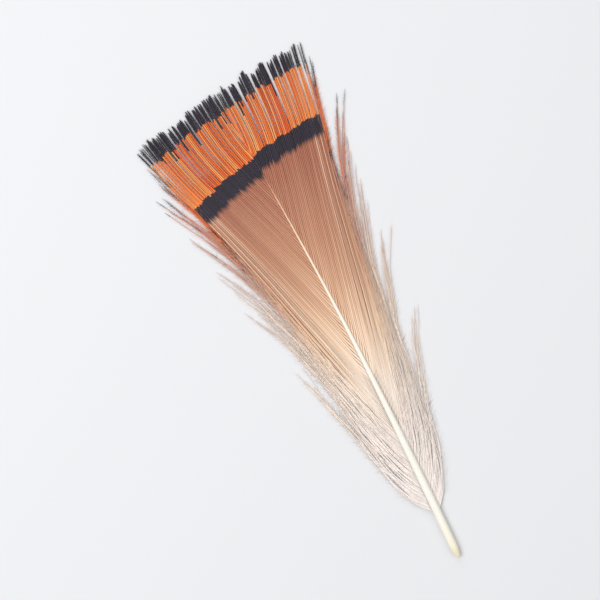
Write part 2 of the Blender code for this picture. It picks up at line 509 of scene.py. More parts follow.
@dataclass(frozen=True)
class BarbFinish:
    """The barbs' colours: dark bars, orange between them, tan that pales to cream down the vane, with painted
    shade along the barbs' edges and a painted sheen on the bars.
    """

    name: str
    dark: tuple = srgb(26, 19, 30)
    # The bars' paler dark: a barb's random tone reaches towards it, and a painted sheen pales the bars
    # towards each barb's edges.
    dark_sheen: tuple = srgb(48, 38, 56)
    orange_deep: tuple = srgb(224, 74, 24)
    orange: tuple = srgb(245, 122, 42)
    orange_pale: tuple = srgb(255, 182, 108)
    cream: tuple = srgb(252, 232, 200)
    rust: tuple = srgb(176, 98, 60)
    pale_down: tuple = srgb(249, 238, 230)
    # The bars and the orange: how soft their edges are, and how far the orange runs into the bar.
    bar_softness: float = 0.10
    lower_softness: float = 0.55
    free_softness: float = 0.5
    orange_softness: float = 0.4
    orange_drop: float = 0.5
    # The streaks: how fast they change from barb to barb, along a barb and across it.
    streak_rate: tuple[float, float, float] = (40.0, 0.35, 0.5)
    streak_stray: float = 0.10
    hue_stray: float = 0.07
    orange_streak: float = 0.25
    # How far each cause changes the colour or the shade.
    down_share: float = 0.6
    cream_from: float = 0.9
    cream_share: float = 0.8
    brightness: float = 0.93
    tone_shade: float = 0.12
    # Painted shade along each barb's edges, where shade falls between neighbouring barbs: a little in the
    # web, more where the barbs are free.
    web_painted_shade: float = 0.06
    free_painted_shade: float = 0.36
    streak_shade: float = 0.20
    dark_by_tone: float = 0.5
    # How far the painted sheen pales the dark bars towards each barb's edges.
    painted_sheen_by_edge: float = 0.3
    # The relief that the webbed barbules make, in millimetres and shares.
    barbules_a_mm: float = 9.0
    barbule_slant: float = 5.0
    rib_edge: float = 0.35
    rib_softness: float = 0.3
    rib_start: float = 1.2
    rib_fade: float = 2.0
    rib_least: float = 0.25
    rib_strength: float = 0.35
    rib_depth: float = 0.02
    # The surface.
    roughness: float = 0.52
    specular: float = 0.35
    sheen: float = 0.12
    sheen_roughness: float = 0.4

    def vane_stops(self, plan: Plan) -> list[tuple[float, tuple]]:
        """The plain colour of the vane, from the quill up to the inner bar.

        Args:
            plan: The feather's sizes.

        Returns:
            Heights, as shares of the feather's length, and their colours.
        """
        heights = [
            (4.0, srgb(247, 238, 234)),
            (11.0, srgb(248, 237, 230)),
            (18.0, srgb(248, 231, 215)),
            (25.0, srgb(240, 204, 172)),
            (29.0, srgb(217, 169, 137)),
            (33.0, srgb(198, 143, 112)),
            (38.0, srgb(183, 123, 96)),
            (42.0, srgb(166, 101, 77)),
        ]
        return [(height / plan.tip_reach, colour) for height, colour in heights]

    def make(self, plan: Plan) -> bpy.types.Material:
        """Builds the material.

        Args:
            plan: The feather's sizes.

        Returns:
            The material, which reads the strands' attributes run, bars and luck.
        """
        g = Graph(self.name)
        gap, across, strength = g.attribute("run")
        tip_edge, upper_edge, lower_edge = g.attribute("bars")
        hue, tone, phase = g.attribute("luck")
        _, y, _ = g.split(g.place())
        height = (y / MM - plan.quill_y) / plan.tip_reach
        edge = across.size()

        by_barb, by_length, by_width = self.streak_rate
        streak = g.noise(g.join(phase * by_barb, gap * by_length, across * by_width), 1.0)
        placed = height + (streak - 0.5) * self.streak_stray + (hue - 0.5) * self.hue_stray
        vane = g.ramp(placed.clamp(), self.vane_stops(plan))
        vane = g.mix((self.down_share - strength * self.down_share).clamp(), vane, self.pale_down)
        vane = g.mix(((tone - self.cream_from) * self.cream_share).clamp(), vane, self.cream)
        vane = g.mix((-1.0 * tone).clamp(), vane, self.rust)

        stops = [(0.05, self.orange_deep), (0.5, self.orange), (0.95, self.orange_pale)]
        orange = g.ramp((hue * (1.0 - self.orange_streak) + streak * self.orange_streak).clamp(), stops)
        in_vane = gap.above(lower_edge - self.orange_drop, self.orange_softness)
        colour = g.mix((1.0 - in_vane) * strength, vane, orange)

        free = (1.0 - gap.above(upper_edge, self.free_softness)) * strength
        # Painted shade: each barb darkens towards its edges, most where it is free. The colour is multiplied
        # by this together with the barb's random tone and streaks.
        painted_edge_shade = edge * (self.web_painted_shade + free * self.free_painted_shade)
        shade = self.brightness + tone.clamp() * self.tone_shade - painted_edge_shade + (streak - 0.5) * self.streak_shade
        colour = g.mix(1.0, colour, g.join(shade, shade, shade), "MULTIPLY")

        tip_bar = 1.0 - gap.above(tip_edge, self.bar_softness)
        below_upper = gap.above(upper_edge, self.bar_softness)
        inner_bar = below_upper * (1.0 - gap.above(lower_edge, self.lower_softness))
        # The bars' dark turns paler with the barb's random tone and, as a painted sheen, towards the barb's
        # edges.
        tone_and_painted_sheen = (tone * self.dark_by_tone + edge * self.painted_sheen_by_edge).clamp()
        colour = g.mix((tip_bar + inner_bar).clamp(), colour, g.mix(tone_and_painted_sheen, self.dark, self.dark_sheen))

        turn = gap * (2.0 * math.pi * self.barbules_a_mm) + edge * self.barbule_slant
        ribs = (turn.wave() * 0.5 + 0.5) * edge.above(self.rib_edge, self.rib_softness)
        webbed = gap.above(lower_edge + self.rib_start, self.rib_fade)
        relief = ribs * webbed * (self.rib_least + strength * (1.0 - self.rib_least))
        g.feed({
            "Base Color": colour,
            "Roughness": self.roughness,
            "Specular IOR Level": self.specular,
            "Sheen Weight": self.sheen,
            "Sheen Roughness": self.sheen_roughness,
            "Normal": g.bump(relief, self.rib_strength, self.rib_depth * MM),
        })
        return g.material


@dataclass(frozen=True)
class HornFinish:
    """The shaft's horn: ivory at the quill, turning tan and then dark as it thins into the bars."""

    name: str
    dark: tuple = srgb(40, 33, 42)
    streak_colour: tuple = srgb(246, 236, 222)
    streak_share: float = 0.3
    streak_stretch: float = 0.08
    streak_rate: float = 6.0
    streak_detail: float = 3.0
    streak_stray: float = 0.02
    roughness: float = 0.32
    roughness_spread: float = 0.12
    specular: float = 0.5
    glow: float = 0.15
    glow_depth: float = 0.4
    relief: float = 0.25
    relief_depth: float = 0.03

    def make(self, plan: Plan) -> bpy.types.Material:
        """Builds the material.

        Args:
            plan: The feather's sizes.

        Returns:
            The material.
        """
        g = Graph(self.name)
        x, y, z = g.split(g.place())
        height = (y / MM - plan.quill_y) / plan.tip_reach
        stretched = g.join(x / MM, y / MM * self.streak_stretch, z / MM)
        streak = g.noise(stretched, self.streak_rate, self.streak_detail)
        stops = [
            (0.0, srgb(236, 224, 190)),
            (0.025, srgb(240, 234, 214)),
            (0.12, srgb(242, 240, 232)),
            (0.50, srgb(243, 238, 226)),
            (0.64, srgb(242, 220, 194)),
            (0.76, srgb(222, 174, 138)),
            (0.815, srgb(166, 110, 84)),
            (0.822, self.dark),
            (0.857, self.dark),
            (0.861, srgb(226, 112, 48)),
            (0.958, srgb(232, 120, 52)),
            (0.962, self.dark),
        ]
        colour = g.ramp((height + (streak - 0.5) * self.streak_stray).clamp(), stops)
        colour = g.mix((streak * self.streak_share).clamp(), colour, self.streak_colour, "MULTIPLY")
        g.feed({
            "Base Color": colour,
            "Roughness": self.roughness + streak * self.roughness_spread,
            "Specular IOR Level": self.specular,
            "Subsurface Weight": self.glow,
            "Subsurface Scale": self.glow_depth * MM,
            "Normal": g.bump(streak, self.relief, self.relief_depth * MM),
        })
        return g.material


@dataclass(frozen=True)
class FloorFinish:
    """A plain pale studio floor."""

    name: str = "studio_floor"
    colour: tuple = srgb(220, 220, 222)
    roughness: float = 0.7

    def make(self) -> bpy.types.Material:
        """Builds the material.

        Returns:
            The material.
        """
        g = Graph(self.name)
        g.feed({"Base Color": self.colour, "Roughness": self.roughness})
        return g.material


class Strands:
    """Collects many closed strands, each a row of like rings, and joins them in one mesh.

    Each strand is a tube whose two ends close in a point. The mesh carries three vectors. The first is run:
    the distance that the bars are measured by, the place across the strand and how fully it is barred. The
    second is bars: the dark bars' edges, as such distances. The third is luck: three numbers of chance.
    """

    # The shares of a column and of a row of the map that stay empty between strands.
    COLUMN_GAP = 0.10
    ROW_GAP = 0.02

    def __init__(self, map_rows: int = 2) -> None:
        """Starts with no strands.

        Args:
            map_rows: The number of rows in which their map lies.
        """
        self.map_rows = map_rows
        self.rings: list[np.ndarray] = []
        self.run: list[np.ndarray] = []
        self.bars: list[np.ndarray] = []
        self.luck: list[np.ndarray] = []
        self.shape = (0, 0)

    def add(self, rings: np.ndarray, gap: np.ndarray, across: np.ndarray, strength: float,
            bars: tuple[float, float, float], luck: np.ndarray) -> None:
        """Adds a strand.

        Args:
            rings: Its places in metres, as stations by points round the ring by three.
            gap: The distance that the bars are measured by, at each station.
            across: Each ring point's place across, from -1 to 1.
            strength: How fully the strand is barred, from 0 to 1.
            bars: The dark bars' edges, as such distances.
            luck: Each station's three numbers of chance.
        """
        stations, around, _ = rings.shape
        ends = np.stack([rings[0].mean(0), rings[-1].mean(0)])
        self.rings.append(np.concatenate([rings.reshape(-1, 3), ends]))
        run = np.zeros((stations * around + 2, 3))
        run[:-2, 0] = np.repeat(gap, around)
        run[:-2, 1] = np.tile(across, stations)
        run[-2:, 0] = gap[0], gap[-1]
        run[:, 2] = strength
        self.run.append(run)
        self.bars.append(np.tile(bars, (len(run), 1)))
        self.luck.append(np.concatenate([np.repeat(luck, around, axis=0), luck[[0, -1]]]))
        self.shape = stations, around

    def faces(self) -> np.ndarray:
        """Numbers the corners of one strand's faces.

        Returns:
            Four corners a face. A triangle at a pointed end repeats its last corner.
        """
        stations, around = self.shape
        first, last = stations * around, stations * around + 1
        faces = []
        for station in range(stations - 1):
            for k in range(around):
                a, b = station * around + k, station * around + (k + 1) % around
                faces.append((a, b, b + around, a + around))
        for k in range(around):
            top = (stations - 1) * around
            faces.append(((k + 1) % around, k, first, first))
            faces.append((top + k, top + (k + 1) % around, last, last))
        return np.array(faces)

    def map_corners(self) -> np.ndarray:
        """Places one strand's face corners in a unit square: across it by ring, up it by station.

        Returns:
            The places, as faces by four corners by two.
        """
        stations, around = self.shape
        corners = []
        rows = stations + 1
        for station in range(stations - 1):
            low, high = (station + 1) / rows, (station + 2) / rows
            for k in range(around):
                left, right = k / around, (k + 1) / around
                corners.append(((left, low), (right, low), (right, high), (left, high)))
        for k in range(around):
            left, right = k / around, (k + 1) / around
            middle = 0.5 * (left + right)
            low, high = 1.0 / rows, (rows - 1) / rows
            corners.append(((right, low), (left, low), (middle, 0.0), (middle, 0.0)))
            corners.append(((left, high), (right, high), (middle, 1.0), (middle, 1.0)))
        return np.array(corners)

    def mesh(self, name: str) -> bpy.types.Mesh:
        """Joins the strands in one mesh.

        Args:
            name: The mesh's name.

        Returns:
            The mesh, smooth, with its attributes and its map.
        """
        count = len(self.rings)
        size = len(self.rings[0])
        one = self.faces()
        square = self.map_corners()
        columns = -(-count // self.map_rows)
        faces, corners = [], []
        for number in range(count):
            column, row = number % columns, number // columns
            u = (column + 0.5 * self.COLUMN_GAP + square[:, :, 0] * (1.0 - self.COLUMN_GAP)) / columns
            v = (row + 0.5 * self.ROW_GAP + square[:, :, 1] * (1.0 - self.ROW_GAP)) / self.map_rows
            faces.append(one + number * size)
            corners.append(np.stack([u, v], axis=2))
        faces = np.concatenate(faces)
        corners = np.concatenate(corners)
        triangle = faces[:, 2] == faces[:, 3]
        keep = np.ones(faces.shape, bool)
        keep[triangle, 3] = False

        mesh = bpy.data.meshes.new(name)
        points = np.concatenate(self.rings)
        loops = faces[keep]
        totals = np.where(triangle, 3, 4)
        mesh.vertices.add(len(points))
        mesh.vertices.foreach_set("co", points.astype(np.float32).ravel())
        mesh.loops.add(len(loops))
        mesh.loops.foreach_set("vertex_index", loops.astype(np.int32))
        mesh.polygons.add(len(totals))
        starts = np.concatenate([[0], np.cumsum(totals)[:-1]])
        mesh.polygons.foreach_set("loop_start", starts.astype(np.int32))
        mesh.update(calc_edges=True)
        uv = mesh.uv_layers.new(name="OFBake")
        uv.data.foreach_set("uv", corners[keep].astype(np.float32).ravel())
        for label, parts in (("run", self.run), ("bars", self.bars), ("luck", self.luck)):
            layer = mesh.attributes.new(label, "FLOAT_VECTOR", "POINT")
            layer.data.foreach_set("vector", np.concatenate(parts).astype(np.float32).ravel())
        mesh.validate()
        mesh.shade_smooth()
        return mesh


@dataclass(frozen=True)
class BarEdge:
    """One edge of a dark bar: its distance to a barb's end, and how far clump and chance shift it."""

    gap: float
    slip: float
    jitter: float

    def choose(self, chance: random.Random, slip: float) -> float:
        """Chooses the edge's distance on one barb of a clump that slips by the share slip."""
        return self.gap + self.slip * slip + chance.uniform(-self.jitter, self.jitter)


@dataclass(frozen=True)
class Barb:
    """One barb, with its neighbours and its share of chance.

    Attributes:
        root: The height at which it grows.
        end: The height at which it ends.
        outer_root: Where its outer neighbour grows.
        inner_root: Where its inner neighbour grows.
        bundle: Where the barb grows whose line it draws near to.
        pull: How near it draws to that line.
        sway: How far its end strays sideways.
        lift: How far it strays up.
        wave: The height of its waves.
        phase: Where its waves start.
        strength: How fully it is barred, from 0 to 1.
        bars: The lower edge of its tip bar and the upper and lower edges of its inner bar.
        luck: Its hue, its tone and its place in the streaks.
        slim: The share of its width that it keeps in the web.
        lock: The solid's lock that a loose barb belongs to.
    """

    root: float
    end: float
    outer_root: float
    inner_root: float
    bundle: float
    pull: float
    sway: float
    lift: float
    wave: float
    phase: float
    strength: float
    bars: tuple[float, float, float]
    luck: tuple[float, float, float]
    slim: float = 1.0
    lock: Lock | None = None


@dataclass
class Vane:
    """The barbs of one side of the feather, webbed below the inner bar and free above it."""

    plan: Plan
    side: Side
    finish: bpy.types.Material
    seed: int = 23
    # Where the barbs grow, and the stations along each.
    stations: int = 46
    end_crowding: float = 1.25
    root_top: float = 47.3
    root_step: float = 0.64
    margin_step: float = 0.40
    margin_top: float = 19.0
    # A blade's section: a ridge with a web on both sides of it.
    across: tuple[float, ...] = (1.0, 0.4, 0.0, -0.4, -1.0, -0.4, 0.0, 0.4)
    ramus_half: float = 0.040
    ramus_least: float = 0.55
    ramus_over: float = 20.0
    ramus_rise: float = 0.055
    ramus_drop: float = 0.075
    ridge_least: float = 0.6
    ridge_over: float = 25.0
    ridge_reach: float = 0.7
    ridge_flank: float = 0.4
    web_half: float = 0.012
    webbed_rise: float = 0.30
    shingle: float = 0.014
    # How much of the gap to its neighbours a blade covers, and how it parts from them.
    web_cover: float = 1.12
    free_cover: float = 0.78
    tip_cover: float = 0.98
    loose_opening: float = 0.96
    loose_opening_power: float = 0.75
    slim_over: float = 8.0
    free_from: float = 10.0
    bare_from: float = 7.4
    bare_over: float = 2.0
    # The barb's end and its root.
    tip_over: float = 2.5
    tip_close: float = 0.6
    tip_close_power: float = 1.5
    tip_slimness: float = 0.60
    tip_curl: float = 0.08
    root_inset: float = 0.45
    root_over: float = 1.5
    under_shaft: float = 0.5
    # The coherent barbs' clumps.
    clump_sizes: tuple[int, ...] = (1, 2, 3, 4, 5, 6)
    clump_pull: float = 0.17
    clump_pull_spread: tuple[float, float] = (0.4, 1.4)
    clump_sway: float = 0.12
    own_sway: float = 0.35
    sway_power: float = 1.5
    lock_share: float = 0.7
    tip_jitter: float = 0.14
    clump_jitter: float = 0.17
    lift: float = 0.03
    lift_step: float = 0.02
    lift_in_web: float = 0.3
    lift_when_free: float = 1.2
    ripple: float = 0.015
    wave_length: float = 7.0
    wave_over: float = 4.0
    # The outermost of them, which crowd along the margin, and a few pale threads.
    margin_tones: tuple[float, ...] = (-0.75, -0.3, 0.1, 0.9, 1.2, 1.6)
    margin_slimness: tuple[float, float] = (0.5, 1.0)
    margin_hue: float = 0.4
    margin_sway: float = 2.0
    thread_share: float = 0.05
    thread_sway: float = 0.5
    thread_tone: float = 1.3
    thread_lift: float = 0.05
    # The loose barbs.
    loose_in_lock: int = 8
    loose_shortfall: float = 7.0
    shortfall_spread: tuple[float, float] = (0.6, 1.6)
    loose_stray: float = 1.2
    loose_pull: tuple[float, float] = (0.0, 0.55)
    loose_lift: float = 0.05
    loose_wave: tuple[float, float] = (0.02, 0.10)
    loose_tones: tuple[float, float] = (0.1, 1.2)
    down_curl: float = 1.2
    # The dark bars, and the tone that grows out from the shaft.
    tip_bar: BarEdge = BarEdge(2.0, 0.18, 0.15)
    inner_upper: BarEdge = BarEdge(7.25, 0.13, 0.10)
    inner_lower: BarEdge = BarEdge(9.15, 0.16, 0.15)
    long_tip_share: float = 0.16
    long_tip: tuple[float, float] = (0.4, 1.5)
    faint_tip: float = 0.5
    bar_drift: float = 0.035
    bar_from: float = 9.0
    bar_full: float = 13.0
    tone_from: float = 2.0
    tone_over: float = 7.0
    strands: Strands = field(default_factory=Strands)
    loose: list[Barb] = field(default_factory=list)
    webbed: list[Barb] = field(default_factory=list)

    def make_barbs(self) -> list[Barb]:
        """Chooses the loose barbs lock by lock, then the coherent ones clump by clump.

        Returns:
            All of them.
        """
        chance = random.Random(self.seed + self.side.value)
        locks = self.plan.locks()[self.side]
        loose = [lock for lock in locks if self.plan.looseness(lock.root) > 0.0]
        self.loose = [barb for lock in loose for barb in self.loose_barbs(chance, lock)]
        roots = []
        place = self.plan.quill_bare + self.plan.lock_depth() * len(loose)
        while place < self.root_top:
            roots.append(place + 0.5 * self.step_at(place))
            place += self.step_at(place)
        while roots:
            size = chance.choice(self.clump_sizes)
            self.webbed += self.clump(chance, roots[:size], locks)
            roots = roots[size:]
        return self.loose + self.webbed

    def step_at(self, root: float) -> float:
        """Distance between the roots of neighbouring coherent barbs: less where they reach the margin."""
        return self.margin_step if root < self.margin_top else self.root_step

    def loose_barbs(self, chance: random.Random, lock: Lock) -> list[Barb]:
        """Chooses the barbs of one loose lock, which draw together towards its end.

        Args:
            chance: The source of chance.
            lock: The lock.

        Returns:
            The barbs.
        """
        step = self.plan.lock_depth() / self.loose_in_lock
        barbs = []
        curly = 1.0 + self.down_curl * self.plan.looseness(lock.root)
        for number in range(self.loose_in_lock):
            offset = number + 0.5 - 0.5 * self.loose_in_lock
            root = lock.root + step * offset
            aside = max(abs(offset) - 0.5, 0.0) / self.loose_in_lock
            end = lock.end - self.loose_shortfall * aside * chance.uniform(*self.shortfall_spread)
            stray = self.loose_stray * chance.uniform(-1.0, 1.0) ** 3
            barbs.append(Barb(
                root=root, end=end, outer_root=root - step, inner_root=root + step,
                bundle=lock.root, pull=chance.uniform(*self.loose_pull), sway=stray,
                lift=self.loose_lift * chance.uniform(-1.0, 1.0),
                wave=curly * chance.uniform(*self.loose_wave), phase=chance.uniform(0.0, 2.0 * math.pi),
                strength=self.bar_strength(root), bars=self.bar_edges(chance, root, 0.0),
                luck=(chance.random(), chance.uniform(*self.loose_tones), chance.random()), lock=lock,
            ))
        return barbs

    def clump(self, chance: random.Random, roots: list[float], locks: list[Lock]) -> list[Barb]:
        """Chooses a clump of coherent barbs, which lean together where they are free.

        Args:
            chance: The source of chance.
            roots: Where its barbs grow.
            locks: The solid's locks, whose ends the barbs share.

        Returns:
            The barbs.
        """
        bundle = sum(roots) / len(roots)
        sway, slip = chance.uniform(-1.0, 1.0), chance.uniform(-1.0, 1.0)
        pull = self.clump_pull * chance.uniform(*self.clump_pull_spread)
        barbs = []
        for place, root in enumerate(roots):
            number = int((root - self.plan.quill_bare) / self.plan.lock_depth())
            lock = locks[min(number, len(locks) - 1)]
            spare = self.lock_share * (lock.end - self.plan.barb_end(self.side, lock.root))
            jitter = self.clump_jitter * slip + self.tip_jitter * chance.uniform(-1.0, 1.0)
            end = self.plan.barb_end(self.side, root) + spare + jitter
            hue, tone, slim = chance.random(), chance.random(), 1.0
            own_sway = self.clump_sway * (sway + self.own_sway * chance.uniform(-1.0, 1.0))
            lift = self.lift * chance.uniform(-1.0, 1.0) + self.lift_step * (place % 2)
            if root < self.margin_top:
                tone = chance.choice(self.margin_tones)
                slim = chance.uniform(*self.margin_slimness)
                hue = self.margin_hue + (1.0 - self.margin_hue) * hue
                own_sway *= self.margin_sway
            elif chance.random() < self.thread_share:
                tone = self.thread_tone
                own_sway += self.thread_sway * chance.uniform(-1.0, 1.0)
                lift += self.thread_lift
            step = self.step_at(root)
            barbs.append(Barb(
                root=root, end=end, outer_root=root - step, inner_root=root + step,
                bundle=bundle, pull=pull, sway=own_sway, lift=lift,
                wave=chance.uniform(0.0, self.ripple), phase=chance.uniform(0.0, 2.0 * math.pi),
                strength=self.bar_strength(root), bars=self.bar_edges(chance, root, slip),
                luck=(hue, tone, chance.random()), slim=slim,
            ))
        return barbs

    def bar_strength(self, root: float) -> float:
        """How fully a barb is barred: none on the lowest, all of it from the coherent vane up."""
        return min(max((root - self.bar_from) / (self.bar_full - self.bar_from), 0.0), 1.0)

    def bar_edges(self, chance: random.Random, root: float, slip: float) -> tuple[float, float, float]:
        """Chooses where a barb turns dark, as distances to its end.

        Args:
            chance: The source of chance.
            root: Where the barb grows.
            slip: The shift that its clump shares.

        Returns:
            The lower edge of the tip bar and the upper and lower edges of the inner bar.
        """
        x = self.side.value * float(self.plan.spread(self.plan.tip_reach, root))
        drift = -self.bar_drift * x
        tip = self.tip_bar.choose(chance, slip)
        if chance.random() < self.long_tip_share:
            tip += chance.uniform(*self.long_tip)
        upper = self.inner_upper.choose(chance, slip) + drift
        lower = self.inner_lower.choose(chance, slip) + drift
        strength = self.bar_strength(root)
        middle = 0.5 * (upper + lower)
        return (
            tip * strength - self.faint_tip * (1.0 - strength),
            middle + (upper - middle) * strength ** 2,
            middle + (lower - middle) * strength ** 2,
        )

    def out(self, barb: Barb, y: np.ndarray) -> np.ndarray:
        """Distance of a barb from the shaft, with the way that it strays.

        Args:
            barb: The barb.
            y: The heights.

        Returns:
            The distances.
        """
        line = self.plan.spread(y, barb.root)
        centre = self.plan.spread(y, barb.bundle)
        grown = np.clip((y - barb.root) / self.wave_over, 0.0, 1.0)
        wave = barb.wave * grown * np.sin(2.0 * math.pi * y / self.wave_length + barb.phase)
        near_tip = np.clip(1.0 - (barb.end - y) / self.tip_over, 0.0, 1.0)
        wave = wave + self.tip_curl * math.sin(barb.phase) * near_tip ** 2
        if barb.lock:
            parted = barb.lock.parted(y)
            closed = barb.pull * np.sqrt(parted)
            flare = self.plan.flare(y, barb.lock.root, barb.lock.end)
            return line + (centre - line) * closed + flare + barb.sway * parted ** self.sway_power + wave
        free = self.freedom(barb, y)
        return line + (centre - line) * barb.pull * free + barb.sway * free ** self.sway_power + wave

    def freedom(self, barb: Barb, y: np.ndarray) -> np.ndarray:
        """How far the heights y lie in a barb's free stretch: 0 below it, 1 at the barb's end."""
        return np.clip((self.free_from - (barb.end - y)) / self.free_from, 0.0, 1.0)

    def halves(self, barb: Barb, y: np.ndarray) -> tuple[np.ndarray, np.ndarray]:
        """Half widths of a barb's blade on its outer and its inner side.

        Args:
            barb: The barb.
            y: The heights.

        Returns:
            The outer and the inner half widths.
        """
        line = self.plan.spread(y, barb.root)
        outer = 0.5 * (self.plan.spread(y, barb.outer_root) - line)
        beside = np.clip(2.0 - (y - barb.root) / (barb.inner_root - barb.root), 0.0, 1.0)
        inner = 0.5 * (1.0 + beside) * (line - self.plan.spread(y, barb.inner_root))
        gap = barb.end - y
        bare = self.bareness(barb, y)
        if barb.lock:
            cover = self.web_cover * (1.0 - self.loose_opening * bare ** self.loose_opening_power)
        else:
            tip = np.clip((self.tip_over - gap) / self.tip_over, 0.0, 1.0)
            cover = self.web_cover + (self.free_cover - self.web_cover) * bare
            cover = cover + (self.tip_cover - self.free_cover) * tip
            slimmed = np.clip((y - barb.root) / self.slim_over, 0.0, 1.0)
            slimmed = slimmed * np.clip((gap - self.free_from) / self.slim_over, 0.0, 1.0)
            cover = cover * (1.0 + (barb.slim - 1.0) * slimmed)
        close = self.closing(gap)
        stout = self.ramus_least + (1.0 - self.ramus_least) * np.clip(gap / self.ramus_over, 0.0, 1.0)
        ramus = self.ramus_half * stout
        return np.maximum(outer * cover, ramus) * close, np.maximum(inner * cover, ramus) * close

    def bareness(self, barb: Barb, y: np.ndarray) -> np.ndarray:
        """How far a barb is free of its neighbours.

        Args:
            barb: The barb.
            y: The heights.

        Returns:
            Shares: 0 in the web, 1 where the barb is bare.
        """
        if barb.lock:
            return barb.lock.parted(y)
        return np.clip((self.bare_from - (barb.end - y)) / self.bare_over, 0.0, 1.0)

    def closing(self, gap: np.ndarray) -> np.ndarray:
        """The share of its size that a barb keeps at the distances gap to its pointed end."""
        return 1.0 - self.tip_slimness * np.clip(1.0 - gap / self.tip_close, 0.0, 1.0) ** self.tip_close_power

    def ring(self, outer: np.ndarray, inner: np.ndarray, gap: np.ndarray, bare: np.ndarray) -> np.ndarray:
        """Offsets of a blade's eight ring points from its middle.

        Args:
            outer: The outer half widths.
            inner: The inner half widths.
            gap: The distances to the barb's end.
            bare: How far the barb is free of its neighbours.

        Returns:
            Offsets away from the shaft and up, as stations by eight by two.
        """
        slim = self.ridge_least + (1.0 - self.ridge_least) * np.clip(gap / self.ridge_over, 0.0, 1.0)
        slim = slim * self.closing(gap)
        ramus = self.ramus_half * slim
        outer_near = np.minimum(ramus, outer * self.ridge_reach)
        inner_near = np.minimum(ramus, inner * self.ridge_reach)
        proud = slim * (self.webbed_rise + (1.0 - self.webbed_rise) * bare)
        rise, drop = self.ramus_rise * proud, self.ramus_drop * proud
        web = self.web_half * self.closing(gap)
        above, below = web + self.ridge_flank * rise, -web - self.ridge_flank * drop
        middle = np.zeros_like(gap)
        points = [
            (outer, middle - self.shingle),
            (outer_near, above),
            (middle, rise),
            (-inner_near, above),
            (-inner, middle + self.shingle),
            (-inner_near, below),
            (middle, -drop),
            (outer_near, below),
        ]
        return np.stack([np.stack(pair, axis=1) for pair in points], axis=1)

    def base(self, barb: Barb, y: np.ndarray) -> np.ndarray:
        """Distance from the shaft's middle at which a barb starts: inside the shaft, then at its flank.

        Args:
            barb: The barb.
            y: The heights.

        Returns:
            The distances.
        """
        rise = np.clip((y - barb.root) / self.root_over, 0.0, 1.0)
        out = self.root_inset + (1.0 - self.root_inset) * rise
        return self.plan.shaft_half(np.full_like(y, barb.root)) * out

    def places(self, barb: Barb, y: np.ndarray, aside: np.ndarray, above: np.ndarray) -> np.ndarray:
        """Places on or beside a barb's middle line, in millimetres.

        Args:
            barb: The barb.
            y: The heights, one for each station.
            aside: Distances from the line, away from the shaft, as stations by points.
            above: Distances above the line, as stations by points.

        Returns:
            The places, as stations by points by three.
        """
        plan = self.plan
        out = self.out(barb, y)
        distance = (out[:, None] + aside) * plan.side_share(self.side) + self.base(barb, y)[:, None]
        shift = barb.lock.sway * barb.lock.parted(y) ** 2 if barb.lock else np.zeros_like(y)
        x = (plan.shaft_x(y) + shift)[:, None] + self.side.value * distance
        lift = barb.lift * (self.lift_in_web + self.lift_when_free * self.freedom(barb, y))
        level = plan.vane_level(np.maximum(out, 0.0), y) + lift
        z = np.maximum(level[:, None] + above, LEAST_HEIGHT)
        return np.stack([x, np.broadcast_to(y[:, None], x.shape), z], axis=2)

    def chance_along(self, barb: Barb, y: np.ndarray) -> np.ndarray:
        """A barb's three numbers of chance, of which the tone grows out from the shaft.

        Args:
            barb: The barb.
            y: The heights.

        Returns:
            The numbers, as heights by three.
        """
        hue, tone, phase = barb.luck
        grown = np.clip((y - barb.root - self.tone_from) / self.tone_over, 0.0, 1.0)
        return np.stack([np.full_like(y, hue), 0.5 + (tone - 0.5) * grown, np.full_like(y, phase)], axis=1)

    def add_barb(self, barb: Barb) -> None:
        """Adds one barb's blade to the strands.

        Args:
            barb: The barb.
        """
        share = 1.0 - np.linspace(1.0, 0.0, self.stations) ** self.end_crowding
        y = barb.root + (barb.end - barb.root) * share
        outer, inner = self.halves(barb, y)
        reach = self.out(barb, y) + self.base(barb, y) * self.under_shaft
        inner = np.minimum(inner, np.maximum(reach, self.ramus_half))
        offsets = self.ring(outer, inner, barb.end - y, self.bareness(barb, y))
        places = self.places(barb, y, offsets[:, :, 0], offsets[:, :, 1])
        across = np.array(self.across)
        if self.side is Side.LEFT:
            places, across = places[:, ::-1], across[::-1]
        rings = self.plan.world(places)
        luck = self.chance_along(barb, y)
        self.strands.add(rings, self.bar_gap(barb, y), across, barb.strength, barb.bars, luck)

    def bar_gap(self, barb: Barb, y: np.ndarray) -> np.ndarray:
        """Distances that the bars are measured by: to a webbed barb's even end, or a loose one's own."""
        return (barb.end if barb.lock else self.plan.barb_end(self.side, barb.root)) - y

    def build(self) -> bpy.types.Object:
        """Builds the vane's mesh and dresses it.

        Returns:
            The piece.
        """
        for barb in self.make_barbs():
            self.add_barb(barb)
        name = f"barbs_{self.side.name.lower()}"
        piece = bpy.data.objects.new(name, self.strands.mesh(name))
        bpy.context.scene.collection.objects.link(piece)
        piece.data.materials.append(self.finish)
        return piece


